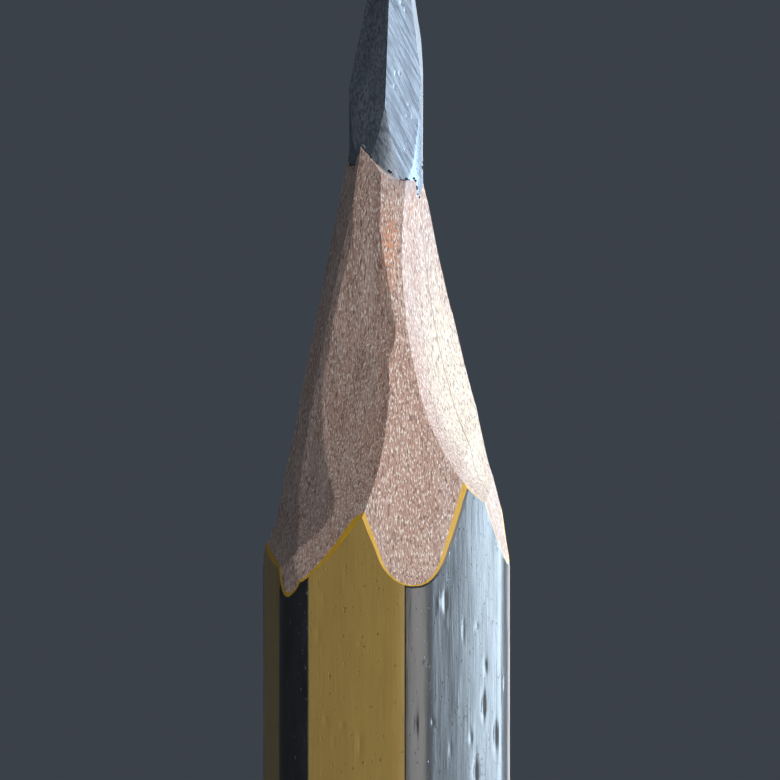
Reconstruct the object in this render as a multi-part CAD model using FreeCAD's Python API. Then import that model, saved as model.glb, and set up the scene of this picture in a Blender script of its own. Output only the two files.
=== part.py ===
import FreeCAD, Part
import math
import os

os.makedirs("parts", exist_ok=True)

# ---------------------------------------------------------------- sizes, mm
# The pencil stands on its flat back end: +Z runs toward the point and the origin is the centre of that end.
# Azimuths are in degrees about +Z: 0 faces -Y, 90 faces +X.
length = 175.0
across_flats = 7.0
corner_radius = 1.3
core_diameter = 2.2
glue_thickness = 0.05
base_coat_thickness = 0.035
stripe_thickness = 0.04
dip_height = 11.0
dip_side_thickness = 0.05
dip_end_thickness = 0.6
dip_edge_radius = 0.5
point_length = 21.0  # lowest knife cut to the tip of the core
stripe_wrap = 0.06  # how far a black face runs past the sharp corner line, on each side
edge_stripe_half_width = 0.63
core_exit_radius = 0.6  # curve where a stroke on the bare core leaves it

half_flats = across_flats / 2.0
core_radius = core_diameter / 2.0
shoulder = length - point_length
reach = across_flats * 2.0  # cutters and blocks run this far, well past the outside
z_clear = length + 10.0  # top of the cutters, past the tip

# Knife strokes through the wood and the lacquer. Each one leaves a facet that closes on the axis toward the tip.
# The facet starts at its lower end along a short hollow curve, where the blade went in.
# The six numbers of a stroke are:
#   the azimuth it faces
#   the height above the shoulder where the facet proper starts
#   its distance from the axis there, as a fraction of half the width across flats
#   its slope toward the axis there
#   the radius of the curve at its lower end
#   the radius of the facet if it is hollow along its length, or 0 if it is straight
knife_strokes = [
    (31.0, 1.08, 0.977, 0.190, 2.5, 0.0),  # long leaf over the front corner
    (-35.0, 3.20, 0.762, 0.180, 5.0, 155.0),  # over the left corner
    (-20.5, 2.28, 0.899, 0.228, 17.0, 20.0),  # start of the same leaf, lower down
    (-36.2, -0.25, 1.080, 0.212, 1.4, 20.0),  # its pointed lowest tip
    (-17.0, 5.66, 0.594, 0.200, 14.9, 14.9),  # hollow scoop between those two
    (-12.0, 8.00, 0.482, 0.055, 2.65, 0.0),  # flatter stroke above it, started part way up
    (-12.0, 11.15, 0.415, 0.180, 3.0, 0.0),  # from there to the core
    (80.0, 5.66, 0.587, 0.300, 8.7, 22.8),  # long hollow facet on the right
    (90.0, 4.02, 0.766, 0.200, 2.7, 0.0),  # over the right corner
    (98.0, 1.00, 1.055, 0.300, 2.5, 36.0),  # hollow stroke below it
    (136.0, 2.98, 0.894, 0.200, 4.0, 0.0),
    (136.0, 8.64, 0.553, 0.280, 3.0, 0.0),
    (165.0, 1.60, 0.950, 0.190, 2.5, 0.0),
    (200.0, 2.60, 0.880, 0.195, 3.0, 0.0),
    (232.0, 1.30, 0.950, 0.190, 2.5, 0.0),
    (260.0, 2.50, 0.820, 0.180, 4.0, 0.0),
    (310.0, 2.50, 0.826, 0.177, 5.0, 0.0),  # left side
    (68.0, 12.25, 0.257, 1.000, 0.3, 0.0),  # nick that trims the thin end of the wood at the core
]

# Strokes that shape the bare core. The three numbers of each are the azimuth it faces, the height above the
# shoulder where it meets the round of the core, and its slope toward the axis.
core_strokes = [
    (50.0, 12.28, 0.085),
    (-27.0, 13.26, 0.152),
    (-20.0, 12.60, 0.120),
    (96.0, 15.20, 0.130),
    (-77.0, 14.90, 0.200),
    (168.0, 14.60, 0.140),
    (212.0, 14.60, 0.160),
]


# ---------------------------------------------------------------- helpers
def toward(azimuth, distance, z):
    """Point at a distance from the axis, in the direction of an azimuth."""
    a = math.radians(azimuth)
    return FreeCAD.Vector(distance * math.sin(a), -distance * math.cos(a), z)


def hexagon(flats, radius, z_bottom, z_top):
    """Hexagonal prism with rounded corners and a flat facing -Y."""
    corner_centre = (flats / 2.0 - radius) / math.cos(math.radians(30))
    edges = []
    for i in range(6):
        corner = 30.0 + 60.0 * i
        centre = toward(corner, corner_centre, z_bottom)
        start = centre + toward(corner - 30.0, radius, 0)
        middle = centre + toward(corner, radius, 0)
        end = centre + toward(corner + 30.0, radius, 0)
        next_centre = toward(corner + 60.0, corner_centre, z_bottom)
        next_start = next_centre + toward(corner + 30.0, radius, 0)
        edges.append(Part.Arc(start, middle, end).toShape())
        edges.append(Part.LineSegment(end, next_start).toShape())
    face = Part.Face(Part.Wire(edges))
    return face.extrude(FreeCAD.Vector(0, 0, z_top - z_bottom))


def slab(azimuth, half_width, z_bottom, z_top):
    """Flat-sided block that reaches from the axis outward, for one strip of the outside."""
    block = Part.makeBox(
        reach, 2.0 * half_width, z_top - z_bottom, FreeCAD.Vector(0, -half_width, z_bottom)
    )
    block.rotate(FreeCAD.Vector(0, 0, 0), FreeCAD.Vector(0, 0, 1), azimuth - 90.0)
    return block


def stroke(azimuth, z_start, distance, slope, exit_radius, hollow_radius):
    """Everything one knife stroke removes: a long facet that ends below in a hollow curve."""
    tilt = math.atan(slope)
    curve_end = math.radians(80.0)

    def at(u, z):
        return FreeCAD.Vector(u, -reach, z)

    def on_curve(radius, angle):
        centre_u = distance + radius * math.cos(tilt)
        centre_z = z_start + radius * math.sin(tilt)
        return at(centre_u - radius * math.cos(angle), centre_z - radius * math.sin(angle))

    start = at(distance, z_start)
    out = on_curve(exit_radius, curve_end)
    edges = [Part.Arc(out, on_curve(exit_radius, (tilt + curve_end) / 2.0), start).toShape()]
    if hollow_radius > 0:
        upright = on_curve(hollow_radius, 0.0)
        high = at(upright.x, z_clear)
        edges.append(Part.Arc(start, on_curve(hollow_radius, tilt / 2.0), upright).toShape())
        edges.append(Part.LineSegment(upright, high).toShape())
    else:
        high = at(distance - slope * (z_clear - z_start), z_clear)
        edges.append(Part.LineSegment(start, high).toShape())
    edges.append(Part.LineSegment(high, at(reach, z_clear)).toShape())
    edges.append(Part.LineSegment(at(reach, z_clear), at(reach, out.z)).toShape())
    edges.append(Part.LineSegment(at(reach, out.z), out).toShape())
    body = Part.Face(Part.Wire(edges)).extrude(FreeCAD.Vector(0, 2.0 * reach, 0))
    body.rotate(FreeCAD.Vector(0, 0, 0), FreeCAD.Vector(0, 0, 1), azimuth - 90.0)
    return body


def write(shape, node):
    """Writes one node as one clean solid."""
    solid = shape.removeSplitter()
    solid = max(solid.Solids, key=lambda s: s.Volume)
    solid.exportStep("parts/" + node + ".step")


# ---------------------------------------------------------------- cutters
wood_cutters = []
for azimuth, rise, fraction, slope, exit_radius, hollow_radius in knife_strokes:
    distance = fraction * half_flats
    wood_cutters.append(
        stroke(azimuth, shoulder + rise, distance, slope, exit_radius, hollow_radius)
    )
core_cutters = []
for azimuth, rise, slope in core_strokes:
    core_cutters.append(
        stroke(azimuth, shoulder + rise, core_radius, slope, core_exit_radius, 0.0)
    )

# ---------------------------------------------------------------- layers
coat_flats = across_flats - 2.0 * stripe_thickness
wood_flats = coat_flats - 2.0 * base_coat_thickness
coat_radius = corner_radius - stripe_thickness
wood_radius = coat_radius - base_coat_thickness
outside = hexagon(across_flats, corner_radius, dip_end_thickness, length)
coated = hexagon(coat_flats, coat_radius, dip_end_thickness, length)
wood = hexagon(wood_flats, wood_radius, dip_end_thickness, length)
core = Part.makeCylinder(
    core_radius, length - dip_end_thickness, FreeCAD.Vector(0, 0, dip_end_thickness)
)

# graphite core
write(core.cut(core_cutters), "graphite_core")

# the two grooved halves of the casing, and the glue between them
half_glue = glue_thickness / 2.0
casing = wood.cut([core] + wood_cutters)
front_block = Part.makeBox(2 * reach, reach, z_clear, FreeCAD.Vector(-reach, -reach - half_glue, 0))
back_block = Part.makeBox(2 * reach, reach, z_clear, FreeCAD.Vector(-reach, half_glue, 0))
left_film = Part.makeBox(reach, glue_thickness, z_clear, FreeCAD.Vector(-reach, -half_glue, 0))
right_film = Part.makeBox(reach, glue_thickness, z_clear, FreeCAD.Vector(0, -half_glue, 0))
write(casing.common(front_block), "casing_half_front")
write(casing.common(back_block), "casing_half_back")
write(casing.common(left_film), "glue_seam_left")
write(casing.common(right_film), "glue_seam_right")

# lacquer: a base coat all round, and black stripes over it
write(coated.cut([wood] + wood_cutters), "base_coat_yellow")
stripe_layer = outside.cut([coated] + wood_cutters)
face_half_width = half_flats * math.tan(math.radians(30)) + stripe_wrap
face_stripes = {"stripe_face_right": 60.0, "stripe_face_left": 240.0}
edge_stripes = {"stripe_edge_left": -30.0, "stripe_edge_right": 150.0}
stripes = []
for node, azimuth in face_stripes.items():
    piece = stripe_layer.common(slab(azimuth, face_half_width, 0, length))
    stripes.append(piece)
    write(piece, node)
for node, azimuth in edge_stripes.items():
    piece = stripe_layer.common(slab(azimuth, edge_stripe_half_width, 0, length))
    stripes.append(piece)
    write(piece, node)

# dipped back end
dip_flats = across_flats + 2.0 * dip_side_thickness
dip_radius = corner_radius + dip_side_thickness
dip = hexagon(dip_flats, dip_radius, 0, dip_height)
bottom_edges = [e for e in dip.Edges if e.BoundBox.ZMax < 0.001]
dip = dip.makeFillet(dip_edge_radius, bottom_edges)
write(dip.cut([coated] + stripes), "end_dip")
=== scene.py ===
import math
import random

import bpy
import numpy as np
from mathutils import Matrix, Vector


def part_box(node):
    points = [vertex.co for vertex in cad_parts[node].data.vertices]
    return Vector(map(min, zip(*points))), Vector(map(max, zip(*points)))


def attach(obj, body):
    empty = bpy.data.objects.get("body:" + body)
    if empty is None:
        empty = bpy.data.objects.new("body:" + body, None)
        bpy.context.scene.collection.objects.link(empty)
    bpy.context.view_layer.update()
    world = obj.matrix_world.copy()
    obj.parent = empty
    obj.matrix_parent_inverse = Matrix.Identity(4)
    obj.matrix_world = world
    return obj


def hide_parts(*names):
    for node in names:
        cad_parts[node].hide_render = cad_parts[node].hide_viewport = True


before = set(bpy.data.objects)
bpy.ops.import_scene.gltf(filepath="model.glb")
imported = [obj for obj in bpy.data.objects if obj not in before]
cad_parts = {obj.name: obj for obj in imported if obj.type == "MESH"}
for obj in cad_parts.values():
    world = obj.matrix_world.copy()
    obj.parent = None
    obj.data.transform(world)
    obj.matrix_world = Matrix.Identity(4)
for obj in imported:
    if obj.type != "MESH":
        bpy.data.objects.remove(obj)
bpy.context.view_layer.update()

# ------------------------------------------------------------------ sizes, in metres
MM = 0.001
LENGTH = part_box("graphite_core")[1].z
POINT_LENGTH = 21.0 * MM
SHOULDER = LENGTH - POINT_LENGTH  # height of the lowest knife cut
STRIPE_THICKNESS = 0.04 * MM
COAT_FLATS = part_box("base_coat_yellow")[1].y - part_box("base_coat_yellow")[0].y
STRIPE_FLATS = COAT_FLATS + 2 * STRIPE_THICKNESS
WOOD_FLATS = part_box("casing_half_back")[1].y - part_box("casing_half_front")[0].y
HALF_FLATS = STRIPE_FLATS / 2
CORNER_RADIUS = 1.3 * MM
CORE_RADIUS = (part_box("graphite_core")[1].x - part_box("graphite_core")[0].x) / 2
BARREL_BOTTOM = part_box("base_coat_yellow")[0].z
GLUE_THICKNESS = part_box("glue_seam_left")[1].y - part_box("glue_seam_left")[0].y
STRIPE_OVERLAP = 0.06 * MM  # how far a black face runs past the sharp corner line, on each side
FACE_STRIPE_HALF_WIDTH = HALF_FLATS * math.tan(math.radians(30)) + STRIPE_OVERLAP
EDGE_STRIPE_HALF_WIDTH = 0.63 * MM
SNAP = 0.0001 * MM  # how near a cut a vertex counts as lying on it
BLADE_WIDTH = 16.0 * MM
BLADE_DEPTH = 14.0 * MM
CRUMB_COUNT = 84
CORE_EXIT_RADIUS = 0.6 * MM  # curve where a stroke on the bare core leaves it
CROWN_HEIGHT = 0.047 * MM  # how far the middle of a lacquered face swells
DIP_EDGE_RADIUS = 0.5 * MM

# Knife strokes through wood and lacquer. The seven numbers of each are:
#   the azimuth it faces
#   the height above the shoulder where the facet proper starts, in mm
#   its distance from the axis there, as a share of half the width across flats
#   its slope toward the axis there
#   the radius of the curve at its lower end, in mm
#   the radius of the facet if it is hollow along its length, in mm, or 0 if it is straight
#   the height of the chatter that the blade left, in mm
KNIFE_STROKES = [
    (31.0, 1.08, 0.977, 0.190, 2.5, 0.0, 0.000),
    (-35.0, 3.20, 0.762, 0.180, 5.0, 155.0, 0.002),
    (-20.5, 2.28, 0.899, 0.228, 17.0, 20.0, 0.000),
    (-36.2, -0.25, 1.080, 0.212, 1.4, 20.0, 0.000),
    (-17.0, 5.66, 0.594, 0.200, 14.9, 14.9, 0.010),
    (-12.0, 8.00, 0.482, 0.055, 2.65, 0.0, 0.007),
    (-12.0, 11.15, 0.415, 0.180, 3.0, 0.0, 0.000),
    (80.0, 5.66, 0.587, 0.300, 8.7, 22.8, 0.000),
    (90.0, 4.02, 0.766, 0.200, 2.7, 0.0, 0.000),
    (98.0, 1.00, 1.055, 0.300, 2.5, 36.0, 0.000),
    (136.0, 2.98, 0.894, 0.200, 4.0, 0.0, 0.002),
    (136.0, 8.64, 0.553, 0.280, 3.0, 0.0, 0.000),
    (165.0, 1.60, 0.950, 0.190, 2.5, 0.0, 0.002),
    (200.0, 2.60, 0.880, 0.195, 3.0, 0.0, 0.000),
    (232.0, 1.30, 0.950, 0.190, 2.5, 0.0, 0.003),
    (260.0, 2.50, 0.820, 0.180, 4.0, 0.0, 0.000),
    (310.0, 2.50, 0.826, 0.177, 5.0, 0.0, 0.002),
    (68.0, 12.25, 0.257, 1.000, 0.3, 0.0, 0.010),
]

# Strokes on the bare core: the azimuth, the height above the shoulder where the stroke meets the round of
# the core, in mm, and the slope toward the axis
CORE_STROKES = [
    (50.0, 12.28, 0.085),
    (-27.0, 13.26, 0.152),
    (-20.0, 12.60, 0.120),
    (96.0, 15.20, 0.130),
    (-77.0, 14.90, 0.200),
    (168.0, 14.60, 0.140),
    (212.0, 14.60, 0.160),
]


# ------------------------------------------------------------------ modelling helpers
def outward(azimuth):
    """Unit vector that faces an azimuth: 0 is -Y and 90 is +X."""
    a = math.radians(azimuth)
    return Vector((math.sin(a), -math.cos(a), 0.0))


def pick(obj):
    """Makes one object active, and the only one selected."""
    for other in bpy.context.selected_objects:
        other.select_set(False)
    obj.select_set(True)
    bpy.context.view_layer.objects.active = obj


def apply_all(obj):
    """Applies every modifier of a piece."""
    pick(obj)
    for modifier in list(obj.modifiers):
        bpy.ops.object.modifier_apply(modifier=modifier.name)


def drop(*objects):
    for obj in objects:
        bpy.data.objects.remove(obj)


def copy_of(obj, name):
    twin = obj.copy()
    twin.data = obj.data.copy()
    twin.name = name
    bpy.context.scene.collection.objects.link(twin)
    return twin


def combine(obj, other, how):
    """Boolean of one mesh with another: DIFFERENCE or INTERSECT."""
    step = obj.modifiers.new("combine", "BOOLEAN")
    step.operation = how
    step.object = other
    step.solver = "EXACT"
    apply_all(obj)


def round_bar(name, radius, z_low, z_high, sides):
    bpy.ops.object.select_all(action="DESELECT")
    bpy.ops.mesh.primitive_cylinder_add(
        vertices=sides, radius=radius, depth=z_high - z_low, location=(0, 0, (z_low + z_high) / 2)
    )
    obj = bpy.context.object
    obj.name = name
    bpy.ops.object.transform_apply(location=True, rotation=True, scale=True)
    return obj


def select_edges(obj, wanted):
    """Selects the edges whose two ends pass a test, and stays in edit mode."""
    pick(obj)
    bpy.ops.object.mode_set(mode="EDIT")
    bpy.ops.mesh.select_mode(type="EDGE")
    bpy.ops.mesh.select_all(action="DESELECT")
    bpy.ops.object.mode_set(mode="OBJECT")
    for edge in obj.data.edges:
        a, b = (obj.data.vertices[i].co for i in edge.vertices)
        edge.select = wanted(a, b)
    bpy.ops.object.mode_set(mode="EDIT")


def hexagonal_bar(name, flats, corner_radius, z_low, z_high):
    """Hexagonal bar with rounded long corners and a flat that faces -Y."""
    bpy.ops.object.select_all(action="DESELECT")
    bpy.ops.mesh.primitive_cylinder_add(
        vertices=6,
        radius=flats / 2 / math.cos(math.radians(30)),
        depth=z_high - z_low,
        location=(0, 0, (z_low + z_high) / 2),
        rotation=(0, 0, math.radians(30)),
    )
    obj = bpy.context.object
    obj.name = name
    bpy.ops.object.transform_apply(location=True, rotation=True, scale=True)
    select_edges(obj, lambda a, b: abs(a.z - b.z) > 0.5 * (z_high - z_low))
    bpy.ops.mesh.bevel(
        offset=corner_radius * math.tan(math.radians(30)), segments=14, affect="EDGES"
    )
    bpy.ops.object.mode_set(mode="OBJECT")
    return obj


def slice_with(obj, planes):
    """Scores the mesh along planes, so that it has vertices there to shape."""
    pick(obj)
    bpy.ops.object.mode_set(mode="EDIT")
    for place, normal in planes:
        bpy.ops.mesh.select_all(action="SELECT")
        bpy.ops.mesh.bisect(plane_co=place, plane_no=normal, threshold=SNAP)
    bpy.ops.object.mode_set(mode="OBJECT")


def keep_between(obj, name, cuts):
    """Copy of a piece, kept only on the inner side of flat cuts, with the cuts closed."""
    part = copy_of(obj, name)
    pick(part)
    bpy.ops.object.mode_set(mode="EDIT")
    for where, normal in cuts:
        bpy.ops.mesh.select_all(action="SELECT")
        bpy.ops.mesh.bisect(
            plane_co=where, plane_no=normal, use_fill=True, clear_outer=True, threshold=SNAP
        )
    bpy.ops.object.mode_set(mode="OBJECT")
    return part


def level_planes(z_low, z_high, step):
    count = round((z_high - z_low) / step)
    return [
        (Vector((0, 0, z_low + (z_high - z_low) * i / count)), Vector((0, 0, 1)))
        for i in range(count + 1)
    ]


def axial_planes(step):
    """Planes through the axis, a few degrees apart."""
    count = round(180 / step)
    return [(Vector((0, 0, 0)), outward(180 * (i + 0.37) / count)) for i in range(count)]


def stroke_profile(z_start, distance, slope, exit_radius, hollow_radius, chatter):
    """Points (distance from the axis, height) along a knife stroke, from its exit up to past the tip."""
    tilt = math.atan(slope)
    steep = math.radians(80)
    points = []
    for i in range(17):
        angle = steep + (tilt - steep) * i / 16
        u = distance + exit_radius * (math.cos(tilt) - math.cos(angle))
        z = z_start + exit_radius * (math.sin(tilt) - math.sin(angle))
        points.append((u, z))
    top = LENGTH + 5 * MM
    step = 0.055 * MM if chatter > 0 else 0.4 * MM
    rows = round((top - z_start) / step)
    for i in range(1, rows + 1):
        z = z_start + (top - z_start) * i / rows
        if hollow_radius > 0:
            centre_z = z_start + hollow_radius * math.sin(tilt)
            centre_u = distance + hollow_radius * math.cos(tilt)
            rise = min(0.0, z - centre_z)
            u = centre_u - math.sqrt(hollow_radius**2 - rise**2)
        else:
            u = distance - slope * (z - z_start)
        beat = math.sin(z / (0.045 * MM)) + 0.7 * math.sin(z / (0.071 * MM) + 1.0)
        points.append((u + chatter * beat, z))
    return points


def knife_blade(azimuth, profile):
    """Solid that one stroke removes, swept along its profile."""
    bpy.ops.object.select_all(action="DESELECT")
    bpy.ops.mesh.primitive_grid_add(x_subdivisions=1, y_subdivisions=len(profile) - 1, size=1)
    blade = bpy.context.object
    out = outward(azimuth)
    side = Vector((0, 0, 1)).cross(out)
    for vertex in blade.data.vertices:
        row = round((vertex.co.y + 0.5) * (len(profile) - 1))
        u, z = profile[row]
        vertex.co = out * u + side * math.copysign(BLADE_WIDTH / 2, vertex.co.x) + Vector((0, 0, z))
    bpy.ops.object.mode_set(mode="EDIT")
    bpy.ops.mesh.select_all(action="SELECT")
    bpy.ops.mesh.extrude_region_move(TRANSFORM_OT_translate={"value": out * BLADE_DEPTH})
    bpy.ops.mesh.select_all(action="SELECT")
    bpy.ops.mesh.normals_make_consistent(inside=False)
    bpy.ops.object.mode_set(mode="OBJECT")
    return blade


def cut_with_strokes(obj, profiles):
    for azimuth, profile in profiles:
        blade = knife_blade(azimuth, profile)
        combine(obj, blade, "DIFFERENCE")
        drop(blade)


def noise_texture(name, size, depth=2):
    texture = bpy.data.textures.new(name, "CLOUDS")
    texture.noise_scale = size
    texture.noise_depth = depth
    return texture


def roughen(obj, texture, height, stretch=1.0):
    """Raises the surface by a noise that can be drawn out along the pencil."""
    guide = bpy.data.objects.new("noise_guide", None)
    bpy.context.scene.collection.objects.link(guide)
    guide.scale = (1, 1, stretch)
    bpy.context.view_layer.update()
    step = obj.modifiers.new("roughen", "DISPLACE")
    step.texture = texture
    step.texture_coords = "OBJECT"
    step.texture_coords_object = guide
    step.strength = height
    step.mid_level = 0.5
    apply_all(obj)
    drop(guide)


def level_end(obj, z):
    """Brings the flat end of a piece back to its height, after its surface was roughened."""
    for vertex in obj.data.vertices:
        if abs(vertex.co.z - z) < 0.05 * MM:
            vertex.co.z = z


def across_and_along(points, azimuth, rise):
    """Offsets of points from a place on the surface: sideways, up, and how far they face that azimuth."""
    out = np.array(outward(azimuth))
    side = np.array(Vector((0, 0, 1)).cross(outward(azimuth)))
    return points @ side, points[:, 2] - SHOULDER - rise * MM, points @ out


def press_dents(obj, dents):
    """Presses soft oval dents into the surface, after dividing it finely where they go."""
    mesh = obj.data
    centres = np.array([face.center for face in mesh.polygons])
    near = np.zeros(len(centres), dtype=bool)
    for azimuth, rise, width, height, depth in dents:
        across, along, facing = across_and_along(centres, azimuth, rise)
        near |= (abs(across) < 2.4 * width * MM) & (abs(along) < 2.4 * height * MM) & (facing > 0)
    pick(obj)
    bpy.ops.object.mode_set(mode="EDIT")
    bpy.ops.mesh.select_mode(type="FACE")
    bpy.ops.mesh.select_all(action="DESELECT")
    bpy.ops.object.mode_set(mode="OBJECT")
    mesh.polygons.foreach_set("select", near)
    bpy.ops.object.mode_set(mode="EDIT")
    bpy.ops.mesh.subdivide(number_cuts=3)
    bpy.ops.object.mode_set(mode="OBJECT")
    points = np.empty(len(mesh.vertices) * 3)
    mesh.vertices.foreach_get("co", points)
    points = points.reshape(-1, 3)
    for azimuth, rise, width, height, depth in dents:
        across, along, facing = across_and_along(points, azimuth, rise)
        fall = np.exp(-((across / (width * MM)) ** 2) - (along / (height * MM)) ** 2)
        press = depth * MM * fall * (facing > 0)
        points -= np.array(outward(azimuth)) * press[:, None]
    mesh.vertices.foreach_set("co", points.ravel())
    mesh.update()


def crumble(core, wood):
    """Joins crumbs of graphite to the core, where the blade broke it at the end of the wood."""
    chance = random.Random(5)
    crumbs = []
    lowest = SHOULDER + 10 * MM
    for i in range(CRUMB_COUNT):
        azimuth = chance.uniform(-75, 130)
        start = outward(azimuth) * 4 * MM
        inward = -outward(azimuth)
        # down the core until the wood begins
        z = SHOULDER + 13.9 * MM
        while z >= lowest and not wood.ray_cast(start + Vector((0, 0, z)), inward)[0]:
            z -= 0.03 * MM
        if z < lowest:
            continue
        z += chance.uniform(-0.10, 0.10) * MM
        spot = core.ray_cast(start + Vector((0, 0, z)), inward)[1]
        size = chance.choice((0.016, 0.022, 0.028, 0.038)) * MM
        bpy.ops.object.select_all(action="DESELECT")
        bpy.ops.mesh.primitive_ico_sphere_add(
            subdivisions=2, radius=size, location=spot - inward * 0.15 * size
        )
        crumb = bpy.context.object
        crumb.scale = [chance.uniform(0.6, 1.3) for _ in range(3)]
        bpy.ops.object.transform_apply(location=True, rotation=True, scale=True)
        for vertex in crumb.data.vertices:
            vertex.co += Vector([chance.uniform(-0.22, 0.22) * size for _ in range(3)])
        crumbs.append(crumb)
    pick(core)
    for crumb in crumbs:
        crumb.select_set(True)
    bpy.ops.object.join()


# ------------------------------------------------------------------ materials
def new_material(name):
    material = bpy.data.materials.new(name)
    material.use_nodes = True
    nodes = material.node_tree.nodes
    nodes.clear()
    output = nodes.new("ShaderNodeOutputMaterial")
    shader = nodes.new("ShaderNodeBsdfPrincipled")
    material.node_tree.links.new(shader.outputs["BSDF"], output.inputs["Surface"])
    return material, shader


def join(material, source, target):
    material.node_tree.links.new(source, target)


def place(material, length=1.0, turn=(0, 0, 0)):
    """Object coordinates, drawn out to a length along the pencil, or along that axis once turned."""
    nodes = material.node_tree.nodes
    coordinates = nodes.new("ShaderNodeTexCoord")
    mapping = nodes.new("ShaderNodeMapping")
    mapping.vector_type = "TEXTURE"
    mapping.inputs["Scale"].default_value = (1, 1, length)
    mapping.inputs["Rotation"].default_value = turn
    join(material, coordinates.outputs["Object"], mapping.inputs["Vector"])
    return mapping.outputs["Vector"]


def noise(material, vector, scale, detail=4.0, rough=0.55, twist=0.0):
    node = material.node_tree.nodes.new("ShaderNodeTexNoise")
    node.inputs["Scale"].default_value = scale
    node.inputs["Detail"].default_value = detail
    node.inputs["Roughness"].default_value = rough
    node.inputs["Distortion"].default_value = twist
    join(material, vector, node.inputs["Vector"])
    return node.outputs["Fac"]


def ramp(material, value, *stops):
    node = material.node_tree.nodes.new("ShaderNodeValToRGB")
    elements = node.color_ramp.elements
    while len(elements) < len(stops):
        elements.new(0.5)
    for element, (position, colour) in zip(elements, stops):
        element.position = position
        element.color = (*colour, 1.0) if len(colour) == 3 else colour
    join(material, value, node.inputs["Fac"])
    return node.outputs["Color"]


def mix(material, share, first, second, how="MIX"):
    node = material.node_tree.nodes.new("ShaderNodeMix")
    node.data_type = "RGBA"
    node.blend_type = how
    for socket, value in ((node.inputs[0], share), (node.inputs[6], first), (node.inputs[7], second)):
        if isinstance(value, (int, float)):
            socket.default_value = value
        elif isinstance(value, tuple):
            socket.default_value = (*value, 1.0)
        else:
            join(material, value, socket)
    return node.outputs[2]


def maths(material, how, first, second):
    node = material.node_tree.nodes.new("ShaderNodeMath")
    node.operation = how
    for socket, value in ((node.inputs[0], first), (node.inputs[1], second)):
        if isinstance(value, (int, float)):
            socket.default_value = value
        else:
            join(material, value, socket)
    return node.outputs[0]


def bump(material, height, distance, strength=1.0, below=None):
    node = material.node_tree.nodes.new("ShaderNodeBump")
    node.inputs["Distance"].default_value = distance
    node.inputs["Strength"].default_value = strength
    join(material, height, node.inputs["Height"])
    if below is not None:
        join(material, below, node.inputs["Normal"])
    return node.outputs["Normal"]


def grey(black, white):
    """Two stops of a grey ramp, in order: black at one value and white at the other."""
    return sorted([(black, (0, 0, 0)), (white, (1, 1, 1))])


def blotch(material, centre, radii, hardness=0.5):
    """Soft oval patch at a place on the pencil: 1 inside, fading to 0 at its rim."""
    nodes = material.node_tree.nodes
    coordinates = nodes.new("ShaderNodeTexCoord")
    mapping = nodes.new("ShaderNodeMapping")
    mapping.vector_type = "TEXTURE"
    mapping.inputs["Location"].default_value = centre
    mapping.inputs["Scale"].default_value = radii
    ball = nodes.new("ShaderNodeTexGradient")
    ball.gradient_type = "SPHERICAL"
    join(material, coordinates.outputs["Object"], mapping.inputs["Vector"])
    join(material, mapping.outputs["Vector"], ball.inputs["Vector"])
    return ramp(material, ball.outputs["Fac"], *grey(0.0, hardness))


def from_axis(material):
    """Distance of the surface from the axis of the pencil."""
    nodes = material.node_tree.nodes
    coordinates = nodes.new("ShaderNodeTexCoord")
    flat = nodes.new("ShaderNodeVectorMath")
    flat.operation = "MULTIPLY"
    flat.inputs[1].default_value = (1, 1, 0)
    measure = nodes.new("ShaderNodeVectorMath")
    measure.operation = "LENGTH"
    join(material, coordinates.outputs["Object"], flat.inputs[0])
    join(material, flat.outputs["Vector"], measure.inputs[0])
    return measure.outputs["Value"]


def fresh_cut(material):
    """1 where the knife has cut the lacquer open near the shoulder, and 0 on its outside."""
    nodes = material.node_tree.nodes
    geometry = nodes.new("ShaderNodeNewGeometry")
    facing = nodes.new("ShaderNodeSeparateXYZ")
    coordinates = nodes.new("ShaderNodeTexCoord")
    height = nodes.new("ShaderNodeSeparateXYZ")
    join(material, geometry.outputs["True Normal"], facing.inputs[0])
    join(material, coordinates.outputs["Object"], height.inputs[0])
    tilted = maths(material, "GREATER_THAN", facing.outputs["Z"], 0.155)
    high = maths(material, "GREATER_THAN", height.outputs["Z"], SHOULDER - 0.8 * MM)
    return maths(material, "MULTIPLY", tilted, high)


def on_surface(azimuth, distance, rise):
    """A place from its azimuth, distance from the axis and height above the shoulder, in millimetres."""
    return outward(azimuth) * distance * MM + Vector((0, 0, SHOULDER + rise * MM))


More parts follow.
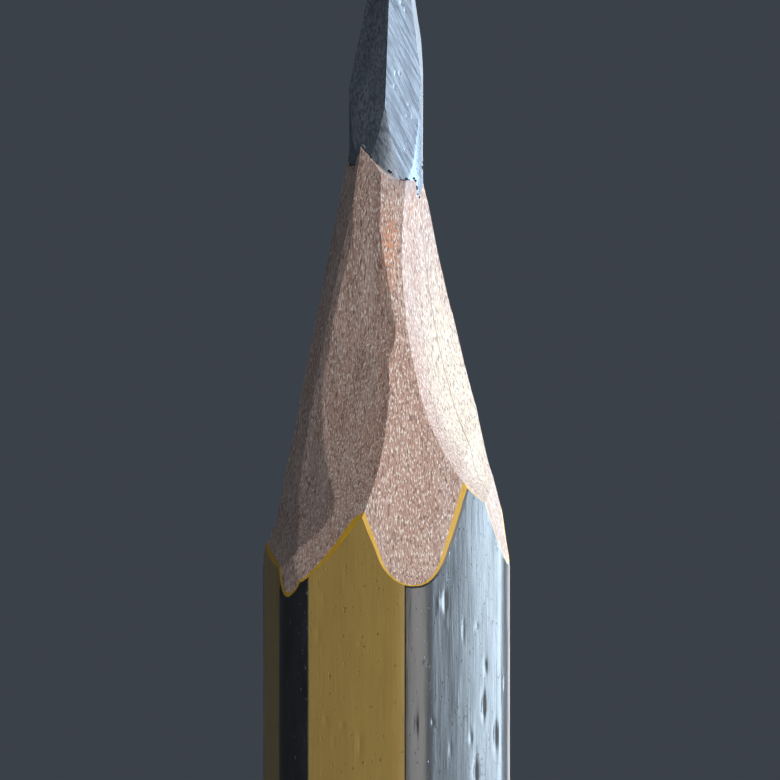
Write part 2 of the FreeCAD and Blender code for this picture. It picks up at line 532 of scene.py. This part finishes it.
def cedar():
    """Raw pencil cedar, cut at a low angle to its fibres: pale flecks that are painted glints, dark pores,
    a rusty streak and a patch of painted light on the facets that face the key lamp.
    """
    material, shader = new_material("cedar")
    fibres = noise(material, place(material, 5), 19000, 2.5, 0.55)
    flecks = noise(material, place(material, 4), 26000, 2.0, 0.5)
    bands = noise(material, place(material, 20), 2600, 3.0, 0.6)
    blush = noise(material, place(material, 3.3), 900, 2.0, 0.5)
    base = ramp(
        material, bands,
        (0.30, (0.42, 0.265, 0.215)), (0.50, (0.55, 0.385, 0.32)), (0.70, (0.64, 0.48, 0.41)),
    )
    ruddy = blotch(material, on_surface(31, 2.9, 5.0), (1.7 * MM, 1.7 * MM, 6.5 * MM), 0.6)
    warm = mix(material, maths(material, "MULTIPLY", ruddy, 0.65), base, (0.50, 0.275, 0.195))
    blushed = mix(material, ramp(material, blush, *grey(0.48, 0.75)), warm, (0.53, 0.31, 0.225))
    streak = blotch(material, on_surface(22, 1.75, 10.4), (0.36 * MM, 0.36 * MM, 2.9 * MM), 0.55)
    uneven = maths(material, "MULTIPLY", streak, ramp(material, fibres, *grey(0.36, 0.60)))
    rusty = mix(material, uneven, blushed, (0.70, 0.32, 0.18))
    # Paler cream patch on the facets that face the key lamp: painted light.
    pale = blotch(material, on_surface(95, 2.4, 6.5), (1.6 * MM, 1.9 * MM, 6.5 * MM), 0.5)
    painted_key_light = mix(material, maths(material, "MULTIPLY", pale, 0.7), rusty, (0.82, 0.70, 0.52))
    pores = mix(material, ramp(material, fibres, *grey(0.50, 0.35)), painted_key_light, (0.26, 0.150, 0.115))
    # Pale flecks painted into the colour: painted glints, on top of the lower roughness there.
    painted_glints = mix(material, ramp(material, flecks, *grey(0.54, 0.66)), pores, (0.90, 0.80, 0.71))
    smear = blotch(material, on_surface(45, 1.1, 12.3), (1.2 * MM, 1.2 * MM, 0.9 * MM), 0.9)
    dusty = maths(material, "MULTIPLY", smear, ramp(material, flecks, *grey(0.42, 0.60)))
    dirty = mix(material, dusty, painted_glints, (0.30, 0.31, 0.34))
    join(material, dirty, shader.inputs["Base Color"])
    join(
        material,
        ramp(material, flecks, (0.40, (0.70,) * 3), (0.66, (0.34,) * 3)),
        shader.inputs["Roughness"],
    )
    shader.inputs["Specular IOR Level"].default_value = 0.5
    shader.inputs["Sheen Weight"].default_value = 0.12
    coarse = bump(material, fibres, 0.020 * MM, 0.9)
    fine = bump(material, flecks, 0.014 * MM, 0.9, coarse)
    join(material, fine, shader.inputs["Normal"])
    return material


def glue_film():
    """Thin brown line of dried glue."""
    material, shader = new_material("glue_film")
    streaks = noise(material, place(material, 10), 6000, 3.0)
    colour = ramp(material, streaks, (0.35, (0.30, 0.19, 0.12)), (0.65, (0.46, 0.32, 0.22)))
    join(material, colour, shader.inputs["Base Color"])
    shader.inputs["Roughness"].default_value = 0.5
    return material


def graphite():
    """Burnished pencil lead: a dark metal sheen with fine slanting scratches and pits."""
    material, shader = new_material("graphite")
    slant = (0, math.radians(-28), math.radians(50))
    scratches = noise(material, place(material, 50, slant), 13000, 3.0, 0.65)
    hairlines = noise(material, place(material, 83, slant), 36000, 1.0, 0.5)
    grain = noise(material, place(material, 1), 30000, 4.0, 0.7)
    clouds = noise(material, place(material, 2.5), 2600, 3.0, 0.6)
    base = ramp(material, clouds, (0.3, (0.235, 0.28, 0.33)), (0.7, (0.34, 0.40, 0.47)))
    streaked = mix(material, ramp(material, scratches, *grey(0.60, 0.36)), base, (0.15, 0.18, 0.22))
    speckled = mix(material, ramp(material, grain, *grey(0.60, 0.74)), streaked, (0.05, 0.06, 0.07))
    loose = maths(material, "GREATER_THAN", from_axis(material), CORE_RADIUS + 0.006 * MM)
    dusty = mix(material, loose, speckled, (0.035, 0.038, 0.042))
    join(material, dusty, shader.inputs["Base Color"])
    shader.inputs["Metallic"].default_value = 0.7
    join(
        material,
        ramp(material, scratches, (0.3, (0.40,) * 3), (0.7, (0.54,) * 3)),
        shader.inputs["Roughness"],
    )
    coarse = bump(material, scratches, 0.010 * MM, 0.9)
    lines = bump(material, hairlines, 0.005 * MM, 0.8, coarse)
    join(material, bump(material, grain, 0.004 * MM, 0.6, lines), shader.inputs["Normal"])
    return material


def lacquer(name, colour, worn, cut_open, pit_shade, roughness, coat, gloss):
    """Glossy pencil lacquer over wood: fine grain lines show through, with small pits darkened by painted
    shade, and rubbed spots.
    """
    material, shader = new_material(name)
    grain = noise(material, place(material, 14), 7500, 3.0, 0.6)
    lines = noise(material, place(material, 29), 15000, 2.0, 0.5)
    skin = noise(material, place(material, 0.6), 9000, 3.0, 0.6)
    pits = noise(material, place(material, 1.7), 11000, 1.0, 0.5)
    smudges = noise(material, place(material, 4), 1500, 4.0, 0.6)
    shade = mix(material, ramp(material, smudges, *grey(0.40, 0.70)), colour, worn)
    # Painted shade: the colour darkens to the pit colour at the bottom of the small pits.
    pit_shaded = mix(material, ramp(material, pits, *grey(0.245, 0.20)), shade, pit_shade)
    join(material, mix(material, fresh_cut(material), pit_shaded, cut_open), shader.inputs["Base Color"])
    low, high = roughness
    join(
        material,
        ramp(material, smudges, (0.3, (low,) * 3), (0.7, (high,) * 3)),
        shader.inputs["Roughness"],
    )
    shader.inputs["Specular IOR Level"].default_value = gloss
    shader.inputs["Coat Weight"].default_value = coat
    shader.inputs["Coat Roughness"].default_value = 0.24
    ridges = bump(material, grain, 0.012 * MM, 0.8)
    threads = bump(material, lines, 0.005 * MM, 0.7, ridges)
    leather = bump(material, skin, 0.004 * MM, 0.7, threads)
    spots = bump(material, ramp(material, pits, *grey(0.31, 0.24)), -0.016 * MM, 0.9, leather)
    join(material, spots, shader.inputs["Normal"])
    return material


def dress(obj, material, slot, *nodes):
    """Finishes a piece: its material, the body it rides on and the CAD nodes it stands for."""
    obj.data.materials.clear()
    obj.data.materials.append(material)
    pick(obj)
    bpy.ops.object.shade_smooth_by_angle(angle=math.radians(24))
    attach(obj, "root")
    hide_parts(*nodes)


WOOD = cedar()
GLUE = glue_film()
GRAPHITE = graphite()
# The fourth colour of each lacquer is the painted shade in its pits.
YELLOW = lacquer(
    "yellow_lacquer", (0.39, 0.265, 0.072), (0.36, 0.235, 0.062), (0.74, 0.43, 0.030), (0.20, 0.12, 0.03),
    (0.42, 0.52), 0.25, 0.35,
)
INK, RUBBED_INK = (0.006, 0.0065, 0.0075), (0.016, 0.018, 0.021)
BLACK = lacquer("black_lacquer", INK, RUBBED_INK, RUBBED_INK, INK, (0.35, 0.43), 0.55, 0.70)
DIP = lacquer("dip_lacquer", INK, RUBBED_INK, RUBBED_INK, INK, (0.26, 0.36), 0.50, 0.50)


# ------------------------------------------------------------------ the cut point of wood and lacquer
POINT_LOW = SHOULDER - 1.5 * MM
POINT_HIGH = SHOULDER + 14.0 * MM
BELOW_ALL = BARREL_BOTTOM - 2.0 * MM
point = round_bar("point", 6 * MM, BARREL_BOTTOM, POINT_HIGH, 48)
stroke_profiles = [
    (
        azimuth,
        stroke_profile(
            SHOULDER + rise * MM, share * HALF_FLATS, slope, exit_mm * MM, hollow_mm * MM, chatter * MM
        ),
    )
    for azimuth, rise, share, slope, exit_mm, hollow_mm, chatter in KNIFE_STROKES
]
cut_with_strokes(point, stroke_profiles)
slice_with(point, level_planes(POINT_LOW, POINT_HIGH, 0.12 * MM))
slice_with(point, axial_planes(2.4))
roughen(point, noise_texture("knife_drag", 0.5 * MM, 3), 0.030 * MM, 5.0)
roughen(point, noise_texture("fibre_tear", 0.12 * MM, 2), 0.012 * MM, 3.0)
level_end(point, BARREL_BOTTOM)


# ------------------------------------------------------------------ wooden casing and glue films
wood_bar = hexagonal_bar(
    "wood_bar", WOOD_FLATS, CORNER_RADIUS - (STRIPE_FLATS - WOOD_FLATS) / 2, BELOW_ALL, LENGTH
)
groove = round_bar("groove", CORE_RADIUS, BELOW_ALL, LENGTH + 1 * MM, 96)
casing = copy_of(wood_bar, "casing")
combine(casing, point, "INTERSECT")
combine(casing, groove, "DIFFERENCE")

FRONT, BACK = (0, -1, 0), (0, 1, 0)
LEFT, RIGHT = (-1, 0, 0), (1, 0, 0)
half_glue = GLUE_THICKNESS / 2
seam_front = (0, -half_glue, 0)
seam_back = (0, half_glue, 0)
front_half = keep_between(casing, "casing_front", [(seam_front, BACK)])
back_half = keep_between(casing, "casing_back", [(seam_back, FRONT)])
seam = [(seam_front, FRONT), (seam_back, BACK)]
left_film = keep_between(casing, "glue_left", seam + [((0, 0, 0), RIGHT)])
right_film = keep_between(casing, "glue_right", seam + [((0, 0, 0), LEFT)])
dress(front_half, WOOD, "wood", "casing_half_front")
dress(back_half, WOOD, "wood", "casing_half_back")
dress(left_film, GLUE, "glue", "glue_seam_left")
dress(right_film, GLUE, "glue", "glue_seam_right")
drop(casing)


# ------------------------------------------------------------------ graphite core
core = round_bar("core", CORE_RADIUS, BARREL_BOTTOM, LENGTH, 96)
core_profiles = [
    (azimuth, stroke_profile(SHOULDER + rise * MM, CORE_RADIUS, slope, CORE_EXIT_RADIUS, 0.0, 0.0))
    for azimuth, rise, slope in CORE_STROKES
]
cut_with_strokes(core, core_profiles)
slice_with(core, level_planes(SHOULDER + 10.5 * MM, LENGTH - 0.05 * MM, 0.08 * MM))
slice_with(core, axial_planes(5.0))
roughen(core, noise_texture("core_drag", 0.35 * MM, 3), 0.014 * MM, 4.0)
level_end(core, BARREL_BOTTOM)
level_end(core, LENGTH)

# Pits in the core: azimuth, then height above the shoulder, half width, half height and depth, in mm
CORE_PITS = [
    (38.0, 15.35, 0.035, 0.06, 0.030),
    (48.0, 15.35, 0.030, 0.06, 0.030),
    (35.0, 14.96, 0.035, 0.05, 0.028),
    (63.0, 17.49, 0.060, 0.08, 0.030),
    (72.0, 17.25, 0.040, 0.06, 0.030),
    (59.0, 14.10, 0.030, 0.05, 0.022),
    (70.0, 14.07, 0.030, 0.06, 0.026),
    (52.0, 13.10, 0.025, 0.05, 0.018),
    (64.0, 14.45, 0.025, 0.05, 0.018),
    (200.0, 14.60, 0.040, 0.06, 0.026),
    (285.0, 15.80, 0.040, 0.07, 0.026),
]
press_dents(core, CORE_PITS)
crumble(core, front_half)
dress(core, GRAPHITE, "graphite", "graphite_core")


# ------------------------------------------------------------------ lacquer
# Dents in the lacquer: azimuth, then height above the shoulder, half width, half height and depth, in mm
DENTS = [
    (46.7, -0.26, 0.075, 0.30, 0.026),
    (43.0, -0.30, 0.060, 0.20, -0.010),
    (71.3, -3.35, 0.070, 0.34, 0.034),
    (72.5, -2.20, 0.060, 0.18, 0.016),
    (79.2, -4.25, 0.080, 0.38, 0.036),
    (66.1, -5.35, 0.075, 0.34, 0.034),
    (63.0, -4.30, 0.060, 0.16, 0.012),
    (31.5, -3.85, 0.055, 0.40, 0.022),
    (35.5, -2.05, 0.040, 0.05, 0.016),
    (37.5, -2.15, 0.030, 0.05, 0.014),
    (39.5, -3.80, 0.035, 0.09, 0.014),
    (84.3, -2.74, 0.030, 0.20, 0.014),
    (58.0, -1.10, 0.050, 0.30, 0.009),
    (67.0, -1.00, 0.040, 0.10, 0.008),
    (50.0, -4.60, 0.050, 0.24, 0.009),
    (-15.8, -1.25, 0.080, 0.26, 0.020),
    (5.3, -1.50, 0.050, 0.10, 0.014),
    (-12.0, -3.73, 0.060, 0.11, 0.014),
    (-3.4, -3.90, 0.070, 0.10, 0.016),
    (5.3, -4.45, 0.050, 0.30, 0.020),
    (2.5, -4.50, 0.050, 0.34, -0.008),
    (-8.0, -4.40, 0.060, 0.22, 0.009),
    (-13.0, -0.20, 0.050, 0.20, 0.010),
    (-2.0, 0.60, 0.040, 0.14, 0.010),
    (118.0, -3.00, 0.080, 0.40, 0.030),
    (186.0, -1.80, 0.080, 0.30, 0.028),
    (172.0, -5.20, 0.060, 0.36, 0.030),
    (243.0, -2.60, 0.080, 0.34, 0.034),
    (232.0, -6.10, 0.070, 0.30, 0.028),
    (296.0, -4.10, 0.080, 0.36, 0.030),
]


CROWN_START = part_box("end_dip")[1].z + 2 * MM


def crown(obj, height):
    """Swells the flat faces a little between their corners, as dipped lacquer does on wood."""
    mesh = obj.data
    for vertex in mesh.vertices:
        co = vertex.co
        fade = min(1.0, max(0.0, (co.z - CROWN_START) / (4 * MM)))
        sixth = math.cos(6 * math.atan2(co.x, -co.y))
        reach = math.hypot(co.x, co.y)
        swell = height * fade * (0.35 + 0.65 * sixth) / max(reach, 1 * MM)
        co.x += co.x * swell
        co.y += co.y * swell


grain_texture = noise_texture("grain_lines", 0.22 * MM, 3)


def lacquered_bar(name, flats, z_low):
    """Outer surface of one coat, with the grain of the wood and the knocks of use in it."""
    radius = CORNER_RADIUS - (STRIPE_FLATS - flats) / 2
    bar = hexagonal_bar(name, flats, radius, z_low, LENGTH - 5 * MM)
    select_edges(bar, lambda a, b: a.z == b.z and (a - b).length > 1 * MM)
    bpy.ops.mesh.subdivide(number_cuts=19)
    bpy.ops.object.mode_set(mode="OBJECT")
    zones = [(SHOULDER - 8 * MM, 44), (SHOULDER + 3.6 * MM, 92)]
    slice_with(bar, [(Vector((0, 0, z)), Vector((0, 0, 1))) for z, cuts in zones])
    zone_low = z_low
    for z, cuts in zones:
        middle = (zone_low + z) / 2
        select_edges(
            bar, lambda a, b: abs((a.z + b.z) / 2 - middle) < SNAP and abs(a.z - b.z) > 1 * MM
        )
        bpy.ops.mesh.subdivide(number_cuts=cuts)
        bpy.ops.object.mode_set(mode="OBJECT")
        zone_low = z
    crown(bar, CROWN_HEIGHT)
    roughen(bar, grain_texture, 0.016 * MM, 9.0)
    press_dents(bar, DENTS)
    return bar


coat_bar = lacquered_bar("coat_bar", COAT_FLATS, BELOW_ALL)
stripe_bar = lacquered_bar("stripe_bar", STRIPE_FLATS, BELOW_ALL + 0.5 * MM)
base_coat = copy_of(coat_bar, "base_coat")
combine(base_coat, point, "INTERSECT")
combine(base_coat, wood_bar, "DIFFERENCE")
dress(base_coat, YELLOW, "yellow_lacquer", "base_coat_yellow")

stripe_skin = copy_of(stripe_bar, "stripe_skin")
combine(stripe_skin, point, "INTERSECT")
combine(stripe_skin, coat_bar, "DIFFERENCE")


def stripe(name, node, azimuth, half_width):
    """One black stripe, cut from the outer skin between two planes along the pencil."""
    out = outward(azimuth)
    side = Vector((0, 0, 1)).cross(out)
    cuts = [(out * CORE_RADIUS, -out), (side * -half_width, -side), (side * half_width, side)]
    part = keep_between(stripe_skin, name, cuts)
    dress(part, BLACK, "black_lacquer", node)


stripe("stripe_right", "stripe_face_right", 60.0, FACE_STRIPE_HALF_WIDTH)
stripe("stripe_left", "stripe_face_left", 240.0, FACE_STRIPE_HALF_WIDTH)
stripe("edge_stripe_front", "stripe_edge_left", -30.0, EDGE_STRIPE_HALF_WIDTH)
stripe("edge_stripe_back", "stripe_edge_right", 150.0, EDGE_STRIPE_HALF_WIDTH)


# ------------------------------------------------------------------ dipped back end
dip_low, dip_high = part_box("end_dip")
DIP_FLATS = dip_high.y - dip_low.y
DIP_WALL = (DIP_FLATS - STRIPE_FLATS) / 2
dip = hexagonal_bar("dip", DIP_FLATS, CORNER_RADIUS + DIP_WALL, dip_low.z, dip_high.z)
select_edges(dip, lambda a, b: max(a.z, b.z) < dip_low.z + SNAP)
bpy.ops.mesh.bevel(offset=DIP_EDGE_RADIUS, segments=6, affect="EDGES")
bpy.ops.object.mode_set(mode="OBJECT")
slice_with(dip, level_planes(dip_low.z + 0.8 * MM, dip_high.z - 0.1 * MM, 0.4 * MM))
roughen(dip, noise_texture("dip_runs", 0.9 * MM, 2), 0.012 * MM, 3.0)
barrel = keep_between(stripe_bar, "barrel", [((0, 0, BARREL_BOTTOM), (0, 0, -1))])
combine(dip, barrel, "DIFFERENCE")
dress(dip, DIP, "dip_lacquer", "end_dip")
drop(point, wood_bar, groove, coat_bar, stripe_bar, stripe_skin, barrel)


# ------------------------------------------------------------------ floor, light and camera
bpy.ops.object.select_all(action="DESELECT")
bpy.ops.mesh.primitive_circle_add(vertices=96, radius=1.2, fill_type="NGON")
floor = bpy.context.object
floor.name = "floor"
floor_material, floor_shader = new_material("pale_floor")
floor_shader.inputs["Base Color"].default_value = (0.60, 0.60, 0.59, 1.0)
floor_shader.inputs["Roughness"].default_value = 0.6
floor.data.materials.append(floor_material)

world = bpy.data.worlds.new("studio")
world.use_nodes = True
world.node_tree.nodes["Background"].inputs["Color"].default_value = (0.044, 0.053, 0.067, 1.0)
world.node_tree.nodes["Background"].inputs["Strength"].default_value = 1.0
bpy.context.scene.world = world
bpy.context.scene.view_settings.view_transform = "Standard"  # colours as they are, with no film curve

VIEW_CENTRE = Vector((0, 0, SHOULDER + 5.96 * MM))


def softbox(name, azimuth, elevation, distance, width, height, power, colour):
    """Rectangular light that faces the point of the pencil."""
    data = bpy.data.lights.new(name, "AREA")
    data.shape = "RECTANGLE"
    data.size = width
    data.size_y = height
    data.energy = power
    data.color = colour
    lamp = bpy.data.objects.new(name, data)
    bpy.context.scene.collection.objects.link(lamp)
    e = math.radians(elevation)
    direction = outward(azimuth) * math.cos(e) + Vector((0, 0, math.sin(e)))
    lamp.location = VIEW_CENTRE + direction * distance
    lamp.rotation_euler = (-direction).to_track_quat("-Z", "Y").to_euler()


softbox("key", 117.0, 6.0, 0.60, 0.24, 0.30, 3.9, (0.78, 0.97, 1.15))
softbox("broad", 52.0, 8.0, 0.60, 0.42, 0.84, 3.95, (1.0, 0.965, 0.95))
softbox("back", 176.0, 8.0, 0.90, 0.50, 0.50, 2.4, (0.95, 0.98, 1.0))

CAMERA_AZIMUTH = 18.0
CAMERA_DISTANCE = 0.25
FRAME_HEIGHT = 23.24 * MM
camera_data = bpy.data.cameras.new("camera")
camera_data.sensor_width = 36.0
camera_data.lens = 36.0 * CAMERA_DISTANCE / FRAME_HEIGHT
camera_data.clip_start = 0.01
camera = bpy.data.objects.new("camera", camera_data)
bpy.context.scene.collection.objects.link(camera)
toward = outward(CAMERA_AZIMUTH)
right = Vector((0, 0, 1)).cross(toward)
camera.location = VIEW_CENTRE + right * 0.12 * MM + toward * CAMERA_DISTANCE
camera.rotation_euler = (-toward).to_track_quat("-Z", "Y").to_euler()
bpy.context.scene.camera = camera
